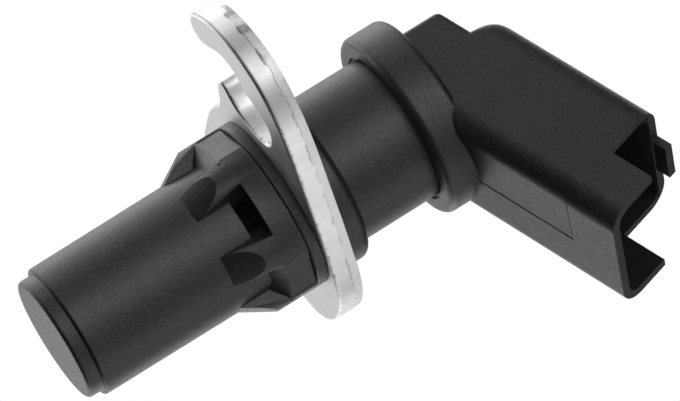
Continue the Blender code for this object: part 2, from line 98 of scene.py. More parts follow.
def turned(name: str, corners: Sequence[Corner], steps: int) -> bpy.types.Mesh:
    """Turn a closed profile round X.

    Args:
        name: Name of the new mesh.
        corners: Station, radius and rounding of each profile corner.
        steps: Facets round the axis.

    Returns:
        The turned mesh.
    """
    bm = bmesh.new()
    verts = [bm.verts.new((station, 0.0, radius)) for station, radius, _ in corners]
    face = bm.faces.new(verts)
    for vert, (_, _, rounding) in zip(verts, corners):
        if rounding > 0.0:
            bmesh.ops.bevel(bm, geom=[vert], offset=rounding, offset_type="OFFSET",
                            segments=CORNER_STEPS, profile=0.5, affect="VERTICES", material=-1)
    bmesh.ops.delete(bm, geom=bm.faces[:], context="FACES_ONLY")
    on_axis = [edge for edge in bm.edges if max(abs(vert.co.z) for vert in edge.verts) < MERGE]
    bmesh.ops.delete(bm, geom=on_axis, context="EDGES")
    bmesh.ops.spin(bm, geom=bm.verts[:] + bm.edges[:], cent=(0.0, 0.0, 0.0), axis=(1.0, 0.0, 0.0),
                   angle=FULL_TURN, steps=steps, use_merge=True, use_duplicate=False)
    return finish_mesh(bm, name)


def prism(name: str, outline: Sequence[Vector], rise: Vector,
          rounding: float = 0.0) -> bpy.types.Mesh:
    """Extrude a flat outline, with all its edges rounded where asked.

    Args:
        name: Name of the new mesh.
        outline: Corners of the outline in order.
        rise: Vector from the first face to the second.
        rounding: Radius along every edge.

    Returns:
        The extruded mesh.
    """
    bm = bmesh.new()
    face = bm.faces.new([bm.verts.new(point) for point in outline])
    grown = bmesh.ops.extrude_face_region(bm, geom=[face])
    moved = [item for item in grown["geom"] if isinstance(item, bmesh.types.BMVert)]
    bmesh.ops.translate(bm, verts=moved, vec=rise)
    bmesh.ops.recalc_face_normals(bm, faces=bm.faces)
    if rounding > 0.0:
        bmesh.ops.bevel(bm, geom=bm.edges[:], offset=rounding, offset_type="OFFSET",
                        segments=EDGE_STEPS, profile=0.5, affect="EDGES", material=-1)
    return finish_mesh(bm, name)


def loft(name: str, sections: Sequence[Sequence[Vector]]) -> bpy.types.Mesh:
    """Extrude a section from station to station, reshaping it at each.

    Args:
        name: Name of the new mesh.
        sections: Closed sections that have the same number of points.

    Returns:
        The lofted mesh.
    """
    bm = bmesh.new()
    face = bm.faces.new([bm.verts.new(point) for point in sections[0]])
    for section in sections[1:]:
        grown = bmesh.ops.extrude_face_region(bm, geom=[face, *face.edges, *face.verts])
        face = next(item for item in grown["geom"] if isinstance(item, bmesh.types.BMFace))
        for vert, point in zip(face.verts, section):
            vert.co = point
    return finish_mesh(bm, name)


@dataclass
class Workshop:
    """Joins and cuts solids, and turns the result into a finished piece."""

    smooth_angle: float = math.radians(22.0)
    shading_weight: int = 60

    def solid(self, mesh: bpy.types.Mesh) -> bpy.types.Object:
        """Put a mesh into the scene as a working solid."""
        made = bpy.data.objects.new(mesh.name, mesh)
        bpy.context.scene.collection.objects.link(made)
        return made

    def combine(self, base: bpy.types.Mesh,
                steps: Sequence[Tuple[Join, bpy.types.Mesh]]) -> bpy.types.Mesh:
        """Apply joins and cuts to a base mesh in order.

        Args:
            base: The mesh to start from.
            steps: Each step's kind and its other mesh.

        Returns:
            The combined mesh.
        """
        body = self.solid(base)
        others = [self.solid(mesh) for _, mesh in steps]
        for (kind, _), other in zip(steps, others):
            cut = body.modifiers.new(other.name, "BOOLEAN")
            cut.operation = kind.value
            cut.object = other
            cut.solver = "EXACT"
        bpy.context.view_layer.update()
        graph = bpy.context.evaluated_depsgraph_get()
        made = bpy.data.meshes.new_from_object(body.evaluated_get(graph))
        for helper in [body, *others]:
            bpy.data.objects.remove(helper, do_unlink=True)
        return made

    def piece(self, name: str, mesh: bpy.types.Mesh, finish: bpy.types.Material, slot: Slot,
              stands_for: str) -> bpy.types.Object:
        """Make a mesh a finished piece that rides on the body.

        Args:
            name: Name of the piece.
            mesh: Its mesh, in place.
            finish: Its material.
            slot: The record's slot that it takes; not used.
            stands_for: The frame's node that it replaces.

        Returns:
            The piece.
        """
        mesh.name = name
        mesh.materials.clear()
        mesh.materials.append(finish)
        mesh.shade_smooth()
        mesh.set_sharp_from_angle(angle=self.smooth_angle)
        made = self.solid(mesh)
        made.name = name
        even = made.modifiers.new("Even shading", "WEIGHTED_NORMAL")
        even.keep_sharp = True
        even.weight = self.shading_weight
        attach(made, BODY)
        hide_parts(stands_for)
        LOG.info("%s: %d faces", name, len(mesh.polygons))
        return made


def tint(colour: Colour, share: float) -> Colour:
    """Return a colour made brighter or darker by a share."""
    return tuple(part * share for part in colour)


def smooth_outline(knots: Sequence[Pair], steps: int) -> List[Pair]:
    """Run a closed smooth curve through knots.

    Args:
        knots: The points to pass through.
        steps: Points on each stretch between two knots.

    Returns:
        The curve's points.
    """
    points: List[Pair] = []
    count = len(knots)
    for index in range(count):
        before, start = Vector(knots[index - 1]), Vector(knots[index])
        end, after = Vector(knots[(index + 1) % count]), Vector(knots[(index + 2) % count])
        for step in range(steps):
            f = step / steps
            leave, arrive = (end - before) * 0.5, (after - start) * 0.5
            point = start * (2 * f**3 - 3 * f**2 + 1) + leave * (f**3 - 2 * f**2 + f)
            point += end * (3 * f**2 - 2 * f**3) + arrive * (f**3 - f**2)
            points.append((point.x, point.y))
    return points


# ---------------------------------------------------------------- finishes


class NodeSheet:
    """Adds shader nodes to one material and wires them."""

    seam: float = 0.1 * MM

    def __init__(self, name: str) -> None:
        """Start a material with an empty Principled shader.

        Args:
            name: Name of the material.
        """
        self.material = bpy.data.materials.new(name)
        self.material.use_nodes = True
        self.tree = self.material.node_tree
        self.shader = self.tree.nodes["Principled BSDF"]
        self.place = self.tree.nodes.new("ShaderNodeTexCoord").outputs["Object"]

    def plug(self, value: object, socket: bpy.types.NodeSocket) -> None:
        """Link an output to a socket, or set the socket to a constant."""
        if isinstance(value, bpy.types.NodeSocket):
            self.tree.links.new(value, socket)
        else:
            socket.default_value = value

    def set(self, **values: object) -> None:
        """Set or link the shader's own sockets, named with underscores."""
        for key, value in values.items():
            self.plug(value, self.shader.inputs[key.replace("_", " ")])

    def stretched(self, scale: Tuple[float, float, float]) -> bpy.types.NodeSocket:
        """Return object coordinates scaled along each axis."""
        node = self.tree.nodes.new("ShaderNodeMapping")
        node.inputs["Scale"].default_value = scale
        self.tree.links.new(self.place, node.inputs["Vector"])
        return node.outputs["Vector"]

    def noise(self, scale: float, detail: float = 3.0, rough: float = 0.5,
              vector: bpy.types.NodeSocket = None) -> bpy.types.NodeSocket:
        """Return a noise value from 0 to 1.

        Args:
            scale: Features in a metre.
            detail: Octaves.
            rough: Strength of the finer octaves.
            vector: Coordinates, or the object's own.

        Returns:
            The noise value's socket.
        """
        node = self.tree.nodes.new("ShaderNodeTexNoise")
        node.inputs["Scale"].default_value = scale
        node.inputs["Detail"].default_value = detail
        node.inputs["Roughness"].default_value = rough
        self.tree.links.new(vector or self.place, node.inputs["Vector"])
        return node.outputs["Fac"]

    def wave(self, scale: float, axis: str, distortion: float = 0.0) -> bpy.types.NodeSocket:
        """Return a banded value from 0 to 1 along one axis."""
        node = self.tree.nodes.new("ShaderNodeTexWave")
        node.bands_direction = axis
        node.inputs["Scale"].default_value = scale
        node.inputs["Distortion"].default_value = distortion
        self.tree.links.new(self.place, node.inputs["Vector"])
        return node.outputs["Fac"]

    def spread(self, value: object, low: float, high: float, to_low: float = 0.0,
               to_high: float = 1.0) -> bpy.types.NodeSocket:
        """Map one range to another, clamped and eased.

        Args:
            value: The value to map.
            low: Start of its range.
            high: End of its range.
            to_low: Result at the start.
            to_high: Result at the end.

        Returns:
            The mapped value's socket.
        """
        node = self.tree.nodes.new("ShaderNodeMapRange")
        node.interpolation_type = "SMOOTHSTEP"
        self.plug(value, node.inputs["Value"])
        for key, number in (("From Min", low), ("From Max", high),
                            ("To Min", to_low), ("To Max", to_high)):
            node.inputs[key].default_value = number
        return node.outputs["Result"]

    def maths(self, kind: str, first: object, second: object = 0.0) -> bpy.types.NodeSocket:
        """Return the result of one arithmetic step."""
        node = self.tree.nodes.new("ShaderNodeMath")
        node.operation = kind
        self.plug(first, node.inputs[0])
        self.plug(second, node.inputs[1])
        return node.outputs["Value"]

    def times(self, first: object, second: object) -> bpy.types.NodeSocket:
        """Return a product."""
        return self.maths("MULTIPLY", first, second)

    def minus(self, first: object, second: object) -> bpy.types.NodeSocket:
        """Return a difference."""
        return self.maths("SUBTRACT", first, second)

    def mix(self, factor: object, first: object, second: object) -> bpy.types.NodeSocket:
        """Return a blend of two colours.

        Args:
            factor: Share of the second colour.
            first: A colour or its socket.
            second: A colour or its socket.

        Returns:
            The blended colour's socket.
        """
        node = self.tree.nodes.new("ShaderNodeMix")
        node.data_type = "RGBA"
        self.plug(factor, node.inputs["Factor"])
        sides = [socket for socket in node.inputs if socket.type == "RGBA"]
        for value, socket in zip((first, second), sides):
            self.plug((*value, 1.0) if isinstance(value, tuple) else value, socket)
        return next(socket for socket in node.outputs if socket.type == "RGBA")

    def bump(self, height: object, depth: float, normal: bpy.types.NodeSocket = None,
             strength: float = 1.0) -> bpy.types.NodeSocket:
        """Return a normal raised by a height value.

        Args:
            height: Height from 0 to 1.
            depth: Real height of 1, in metres.
            normal: A normal to start from.
            strength: Share of the effect.

        Returns:
            The normal's socket.
        """
        node = self.tree.nodes.new("ShaderNodeBump")
        node.inputs["Distance"].default_value = depth
        node.inputs["Strength"].default_value = strength
        self.plug(height, node.inputs["Height"])
        if normal is not None:
            self.tree.links.new(normal, node.inputs["Normal"])
        return node.outputs["Normal"]

    def rounded(self, radius: float) -> bpy.types.NodeSocket:
        """Return a normal that rounds edges by a radius."""
        node = self.tree.nodes.new("ShaderNodeBevel")
        node.samples = 6
        node.inputs["Radius"].default_value = radius
        return node.outputs["Normal"]

    def edge(self, normal: bpy.types.NodeSocket, low: float, high: float) -> bpy.types.NodeSocket:
        """Return 1 along edges, from how far a rounded normal leaves the real one."""
        face = self.tree.nodes.new("ShaderNodeNewGeometry").outputs["True Normal"]
        dot = self.tree.nodes.new("ShaderNodeVectorMath")
        dot.operation = "DOT_PRODUCT"
        self.tree.links.new(face, dot.inputs[0])
        self.tree.links.new(normal, dot.inputs[1])
        return self.spread(self.minus(1.0, dot.outputs["Value"]), low, high)

    def axis(self, name: str) -> bpy.types.NodeSocket:
        """Return one object coordinate."""
        node = self.tree.nodes.new("ShaderNodeSeparateXYZ")
        self.tree.links.new(self.place, node.inputs["Vector"])
        return node.outputs[name]

    def radius(self) -> bpy.types.NodeSocket:
        """Return the distance from the body's axis."""
        node = self.tree.nodes.new("ShaderNodeVectorMath")
        node.operation = "LENGTH"
        self.tree.links.new(self.stretched((0.0, 1.0, 1.0)), node.inputs[0])
        return node.outputs["Value"]

    def between(self, direction: Corner, low: float, high: float) -> bpy.types.NodeSocket:
        """Return 1 between two parallel planes.

        Args:
            direction: Normal of the planes.
            low: Distance of the first plane from the origin.
            high: Distance of the second.

        Returns:
            The mask's socket.
        """
        node = self.tree.nodes.new("ShaderNodeVectorMath")
        node.operation = "DOT_PRODUCT"
        self.tree.links.new(self.place, node.inputs[0])
        node.inputs[1].default_value = direction
        reach, soft = node.outputs["Value"], self.seam
        return self.times(self.spread(reach, low - soft, low),
                          self.spread(reach, high, high + soft, 1.0, 0.0))

    def facing(self, name: str) -> bpy.types.NodeSocket:
        """Return one part of the surface normal."""
        node = self.tree.nodes.new("ShaderNodeSeparateXYZ")
        self.tree.links.new(self.tree.nodes.new("ShaderNodeNewGeometry").outputs["True Normal"],
                            node.inputs["Vector"])
        return node.outputs[name]


@dataclass(frozen=True)
class MouldedNylon:
    """Black nylon as moulded: fine grain, faint flow marks, paler worn edges, and painted shade
    inside the windows and the plug socket.
    """

    name: str
    colour: Colour
    worn: Colour
    roughness: float
    grain: float = 2600.0
    grain_depth: float = 3.2e-5
    edge_radius: float = 0.14 * MM
    specks: float = 0.4
    scuff: Pair = (30.4 * MM, 33.5 * MM)
    hollow_span: Pair = (21.0 * MM, 31.0 * MM)
    hollow_radius: float = 8.7 * MM
    mottle: float = 1.55
    # painted shade: near-black colour, its share and the roughness inside the windows and the plug
    # socket
    painted_shade: Colour = (0.0005, 0.0005, 0.0005)
    painted_shade_share: float = 0.9
    hollow_roughness: float = 0.95
    blur: float = 0.5 * MM
    socket: Tuple[Slab, ...] = ()

    def painted_shade_region(self, sheet: NodeSheet) -> bpy.types.NodeSocket:
        """Return 1 inside the windows and the socket, where the colour is darkened as painted shade
        and the surface stays rough.
        """
        slot = sheet.times(sheet.between((1.0, 0.0, 0.0), *self.hollow_span),
                           sheet.spread(sheet.radius(), self.hollow_radius,
                                        self.hollow_radius + sheet.seam, 1.0, 0.0))
        if not self.socket:
            return slot
        inside = sheet.between(*self.socket[0])
        for slab in self.socket[1:]:
            inside = sheet.times(inside, sheet.between(*slab))
        return sheet.maths("MAXIMUM", slot, inside)

    def build(self) -> bpy.types.Material:
        """Build the material."""
        sheet = NodeSheet(self.name)
        soft = sheet.rounded(self.edge_radius)
        edge = sheet.edge(soft, 0.02, 0.22)
        flow = sheet.noise(140.0, 4.0, 0.6)
        fine = sheet.noise(self.grain, 4.0, 0.7)
        dots = sheet.noise(self.grain * 1.5, 2.0, 0.5)
        base = sheet.mix(sheet.spread(flow, 0.3, 0.75), self.colour, tint(self.colour, self.mottle))
        first, last = self.scuff
        near = sheet.times(sheet.spread(sheet.axis("X"), first - self.blur, first),
                           sheet.spread(sheet.axis("X"), last, last + self.blur, 1.0, 0.0))
        dense = sheet.maths("ADD", sheet.times(near, 0.07), dots)
        dust = sheet.times(sheet.spread(dense, 0.56, 0.68), self.specks)
        base = sheet.mix(dust, base, self.worn)
        chafe = sheet.noise(900.0, 3.0, 0.6)
        wear = sheet.times(edge, sheet.spread(chafe, 0.35, 0.7, 0.25, 0.9))
        base = sheet.mix(wear, base, self.worn)
        grain = sheet.bump(fine, self.grain_depth, soft)
        grain = sheet.bump(flow, self.grain_depth * 3.0, grain)
        # painted shade: the colour is darkened nearly to black inside the windows and the plug
        # socket, where only shade falls
        deep = self.painted_shade_region(sheet)
        base = sheet.mix(sheet.times(deep, self.painted_shade_share), base, self.painted_shade)
        rough = sheet.spread(fine, 0.2, 0.8, self.roughness - 0.08, self.roughness + 0.10)
        rough = sheet.maths("MAXIMUM", rough, sheet.times(deep, self.hollow_roughness))
        sheet.set(Base_Color=base, Roughness=rough, Normal=grain)
        return sheet.material


@dataclass(frozen=True)
class ShearedZincSteel:
    """Zinc-plated steel plate whose edge shows how it was stamped, with painted shadow on the
    rolled front edge.
    """

    name: str
    front: float
    thickness: float
    face: Colour = (0.73, 0.735, 0.745)
    burnished: Colour = (0.86, 0.86, 0.865)
    broken: Colour = (0.90, 0.905, 0.91)
    # dark colour for random specks, pits and the ragged line, also used as painted shadow on the
    # rolled front edge
    soot_and_shade: Colour = (0.09, 0.09, 0.095)
    mottle: float = 1.15
    streaked: float = 0.95
    torn_shade: float = 0.80
    hook: Pair = (23.0 * MM, 27.0 * MM)
    hook_dulling: float = 0.32
    pit_share: float = 0.55

    def build(self) -> bpy.types.Material:
        """Build the material."""
        sheet = NodeSheet(self.name)
        soft = sheet.rounded(0.10 * MM)
        cloud = sheet.noise(260.0, 5.0, 0.65)
        fine = sheet.noise(3200.0, 3.0, 0.6)
        patch = sheet.noise(520.0, 4.0, 0.6)
        streak = sheet.noise(1.0, 4.0, 0.6, sheet.stretched((180.0, 1500.0, 1500.0)))
        on_edge = sheet.spread(sheet.maths("ABSOLUTE", sheet.facing("X")), 0.55, 0.9, 1.0, 0.0)
        upper = sheet.spread(sheet.axis("Y"), *self.hook)
        depth = sheet.maths("DIVIDE", sheet.minus(sheet.axis("X"), self.front), self.thickness)
        ragged = sheet.maths("ADD", depth, sheet.times(sheet.minus(patch, 0.5), 0.30))
        fracture = sheet.spread(ragged, 0.68, 0.72)
        broken_line = sheet.times(sheet.spread(ragged, 0.62, 0.67),
                                  sheet.spread(ragged, 0.68, 0.75, 1.0, 0.0))
        line = sheet.times(broken_line, sheet.spread(cloud, 0.42, 0.58, 0.05, 1.0))
        line = sheet.times(line, sheet.spread(upper, 0.0, 1.0, 0.35, 0.85))
        pits = sheet.times(sheet.times(fracture, upper), sheet.spread(cloud, 0.48, 0.58))
        # painted shadow: the rolled front edge is darkened, dotted all round and solid at the hook
        roll = sheet.spread(depth, 0.09, 0.16, 1.0, 0.0)
        dots = sheet.noise(1500.0, 2.0, 0.5)
        dotted = sheet.times(roll, sheet.spread(dots, 0.50, 0.60, 0.05, 0.9))
        rolled = sheet.maths("MAXIMUM", dotted, sheet.times(roll, upper))
        plain = sheet.mix(sheet.spread(cloud, 0.35, 0.7), self.face, tint(self.face, self.mottle))
        specks = sheet.times(sheet.spread(fine, 0.62, 0.72), 0.35)
        plain = sheet.mix(specks, plain, self.soot_and_shade)
        streaked = tint(self.burnished, self.streaked)
        band = sheet.mix(sheet.spread(streak, 0.35, 0.65), self.burnished, streaked)
        band = sheet.mix(sheet.times(upper, self.hook_dulling), band, self.soot_and_shade)
        torn = sheet.mix(sheet.spread(upper, 0.0, 1.0), self.broken,
                         tint(self.broken, self.torn_shade))
        rim = sheet.mix(fracture, band, torn)
        rim = sheet.mix(sheet.times(pits, self.pit_share), rim, self.soot_and_shade)
        rim = sheet.mix(line, rim, self.soot_and_shade)
        # painted shadow on the rolled front edge
        rim = sheet.mix(sheet.times(rolled, 0.55), rim, self.soot_and_shade)
        base = sheet.mix(on_edge, plain, rim)
        rough_edge = sheet.spread(fracture, 0.0, 1.0, 0.28, 0.40)
        change = sheet.times(sheet.minus(rough_edge, 0.36), on_edge)
        rough = sheet.maths("ADD", change,
                            sheet.spread(cloud, 0.3, 0.7, 0.44, 0.52))
        normal = sheet.bump(fine, 5.0e-6, soft)
        normal = sheet.bump(sheet.noise(150.0, 2.0, 0.5), 7.0e-5, normal)
        grit = sheet.times(sheet.times(fracture, on_edge), sheet.noise(1300.0, 4.0, 0.7))
        normal = sheet.bump(grit, 6.0e-5, normal)
        sheet.set(Base_Color=base, Metallic=1.0, Roughness=rough, Normal=normal)
        return sheet.material


@dataclass(frozen=True)
class PlainFinish:
    """A plain metal, plastic or rubber with grain, mottling and its own sheen."""

    name: str
    colour: Colour
    metallic: float
    roughness: float
    grain: float = 2000.0
    grain_depth: float = 6.0e-6
    bands: float = 0.0
    shade: float = 0.78

    def build(self) -> bpy.types.Material:
        """Build the material."""
        sheet = NodeSheet(self.name)
        cloud = sheet.noise(300.0, 4.0, 0.6)
        fine = sheet.noise(self.grain, 3.0, 0.6)
        darker = tint(self.colour, self.shade)
        base = sheet.mix(sheet.spread(cloud, 0.3, 0.7), darker, self.colour)
        normal = sheet.bump(fine, self.grain_depth)
        if self.bands > 0.0:
            turns = sheet.wave(self.bands, "X", 0.4)
            base = sheet.mix(turns, darker, self.colour)
            normal = sheet.bump(turns, 6.0e-5, normal)
        rough = sheet.spread(fine, 0.25, 0.75, self.roughness - 0.07, self.roughness + 0.09)
        sheet.set(Base_Color=base, Metallic=self.metallic, Roughness=rough, Normal=normal)
        return sheet.material


# ---------------------------------------------------------------- sub-assemblies


@dataclass
class NoseHousing:
    """The sensing nose with its ribbed cage."""

    shop: Workshop
    facets: int = 192
    tip_radius: float = 8.2 * MM
    tip_height: float = 2.0 * MM
    tip_edge: float = 0.55 * MM
    front_radius: float = 8.9 * MM
    radius: float = 9.0 * MM
    bore: float = 7.6 * MM
    wall: float = 1.3 * MM
    ramp_start: float = 21.2 * MM
    ramp_end: float = 25.4 * MM
    window_start: float = 25.8 * MM
    window_floor: float = 5.5 * MM
    ring_start: float = 27.8 * MM
    ring_flat: float = 10.70 * MM
    slope_end: float = 27.55 * MM
    slope_dish: float = 22.0
    slope_sink: float = 0.7 * MM
    slope_step: float = 0.1 * MM
    slope_inset: float = 0.01 * MM
    slope_lap: float = 0.5 * MM
    cage_radius: float = 11.45 * MM
    cage_end: float = 30.9 * MM
    gate: Tuple[Pair, Pair] = ((-3.03 * MM, -1.81 * MM), (-3.76 * MM, -1.22 * MM))
    gate_width: float = 0.14 * MM
    gate_depth: float = 0.2 * MM
    rib_count: int = 6
    rib_width: float = 4.4 * MM
    rib_round: float = 2.0 * MM
    rib_sink: float = 0.8 * MM
    rib_steps: int = 12
    cage_turn: float = math.radians(0.44)
    open_windows: Tuple[int, int] = (0, 3)

    def place(self, angle: float, x: float, radial: float, across: float) -> Vector:
        """Return a point at a distance along and across a direction round the body."""
        return Vector((x, radial * math.cos(angle) - across * math.sin(angle),
                       radial * math.sin(angle) + across * math.cos(angle)))

    def cup(self) -> bpy.types.Mesh:
        """Return the closed cup with its raised sensing disc."""
        corners = (
            (0.0, 0.0, 0.0),
            (0.0, self.tip_radius, self.tip_edge),
            (self.tip_height, self.tip_radius, 0.12 * MM),
            (self.tip_height, self.front_radius, 0.3 * MM),
            (self.ramp_start, self.radius, 0.0),
            (self.cage_end, self.radius, 0.0),
            (self.cage_end, self.bore, 0.0),
            (self.wall, self.bore, 0.0),
            (self.wall, 0.0, 0.0),
        )
        return turned("cup", corners, self.facets)

    def rib(self, angle: float) -> bpy.types.Mesh:
        """Return one rib: a straight ramp up to a crown with rounded edges.

        Args:
            angle: The rib's direction round the body.

        Returns:
            The rib's mesh.
        """
        flat = self.rib_width / 2 - self.rib_round
        count = self.rib_steps
        turns = [math.radians(90.0 * step / count) for step in range(1, count + 1)]
        edge = [flat + self.rib_round * math.sin(turn) for turn in turns]
        middle = [flat * step / 4 for step in range(-4, 5)]
        slope = (self.cage_radius - self.radius) / (self.ramp_end - self.ramp_start)
        inner = self.radius - self.rib_sink
        sections = []
        for side in [-across for across in reversed(edge)] + middle + edge:
            base = math.sqrt(self.radius**2 - side**2) - 0.02 * MM
            past = min(max(0.0, abs(side) - flat), self.rib_round)
            full = math.sqrt(self.cage_radius**2 - side**2)
            crown = full - self.rib_round + math.sqrt(self.rib_round**2 - past**2)
            outline = (
                (self.ramp_start - self.rib_sink, inner),
                (self.ramp_start, base),
                (self.ramp_start + (crown - base) / slope, crown),
                (self.ring_start, full),
                (self.cage_end, full),
                (self.cage_end, inner),
            )
            sections.append([self.place(angle, x, radial, side) for x, radial in outline])
        return loft("rib", sections)

    def ring(self) -> bpy.types.Mesh:
        """Return the ring that joins the ribs' rear ends."""
        inner = self.radius - self.rib_sink
        corners = (
            (self.ring_start, inner, 0.0),
            (self.ring_start, self.cage_radius - 0.01 * MM, 0.0),
            (self.cage_end, self.cage_radius - 0.01 * MM, 0.0),
            (self.cage_end, inner, 0.0),
        )
        return turned("ring", corners, self.facets)

    def flat(self, angle: float) -> bpy.types.Mesh:
        """Return the cutter that flattens the ring over one closed window.

        Args:
            angle: Direction of its middle.

        Returns:
            The cutter's mesh.
        """
        half = self.cage_radius * math.sin(math.pi / self.rib_count) + OVER
        first, last = self.ring_start - OVER / 2, self.cage_end + OVER
        outline = ((first, self.ring_flat), (first, self.cage_radius + OVER),
                   (last, self.cage_radius + OVER), (last, self.ring_flat))
        points = [self.place(angle, x, radial, -half) for x, radial in outline]
        return prism("flat", points, self.place(angle, 0.0, 0.0, 2 * half))

    def window_slope(self, angle: float) -> bpy.types.Mesh:
        """Return the dished, sloping floor of one closed window, which runs up to the ring.

        Args:
            angle: Direction of its middle.

        Returns:
            The slope's mesh.
        """
        half = math.sqrt(self.cage_radius**2 - self.ring_flat**2)
        low = self.radius - self.slope_sink
        top = self.ring_flat - self.slope_inset
        back = self.ring_start + self.slope_lap
        sections = []
        for step in range(-6, 7):
            side = half * step / 6
            ahead = self.slope_dish * side**2
            foot = self.window_start - ahead
            outline = ((foot, low), (foot, self.radius - self.slope_step),
                       (self.slope_end - ahead, top), (back, top), (back, low))
            sections.append([self.place(angle, x, radial, side) for x, radial in outline])
        return loft("slope", sections)

    def window(self, first: float, second: float) -> bpy.types.Mesh:
        """Return the cutter of one open window, from rib to rib.

        Args:
            first: Direction of the rib on one side.
            second: Direction of the rib on the other.

        Returns:
            The cutter's mesh.
        """
        side = self.rib_width / 2 + 0.02 * MM
        top = self.radius + 0.4 * MM
        points = [self.place(first, self.window_start, top, side),
                  self.place(first, self.window_start, self.window_floor, side),
                  self.place(second, self.window_start, self.window_floor, -side),
                  self.place(second, self.window_start, top, -side)]
        return prism("window", points, Vector((self.ring_start - self.window_start, 0.0, 0.0)))

    def gate_mark(self) -> bpy.types.Mesh:
        """Return the cutter of the short mark that the mould's gate leaves on the sensing face."""
        (first_y, first_z), (last_y, last_z) = self.gate
        run = Vector((0.0, last_y - first_y, last_z - first_z))
        side = run.cross(Vector((1.0, 0.0, 0.0))).normalized() * self.gate_width / 2
        start = Vector((-OVER, first_y, first_z))
        points = [start - side, start + side, start + run + side, start + run - side]
        return prism("gate mark", points, Vector((OVER + self.gate_depth, 0.0, 0.0)))

    def build(self, finish: bpy.types.Material) -> None:
        """Build the piece."""
        pitch = FULL_TURN / self.rib_count
        angles = [self.cage_turn + index * pitch for index in range(self.rib_count)]
        closed = [index for index in range(self.rib_count) if index not in self.open_windows]
        flats = [(Join.CUT, self.flat(angles[index] + pitch / 2)) for index in closed]
        ring = self.shop.combine(self.ring(), flats)
        steps = [(Join.ADD, self.rib(angle)) for angle in angles]
        steps.append((Join.ADD, ring))
        steps += [(Join.ADD, self.window_slope(angles[index] + pitch / 2)) for index in closed]
        trim = (
            (self.ramp_start - OVER, self.cage_radius, 0.0),
            (self.ramp_start - OVER, self.cage_radius + 2 * OVER, 0.0),
            (self.cage_end + OVER, self.cage_radius + 2 * OVER, 0.0),
            (self.cage_end + OVER, self.cage_radius, 0.0),
        )
        steps.append((Join.CUT, turned("cage trim", trim, 2 * self.facets)))
        steps += [(Join.CUT, self.window(angles[index], angles[index] + pitch))
                  for index in self.open_windows]
        steps.append((Join.CUT, self.gate_mark()))
        mesh = self.shop.combine(self.cup(), steps)
        self.shop.piece("nose_moulding", mesh, finish, Slot.NOSE, "nose_housing")


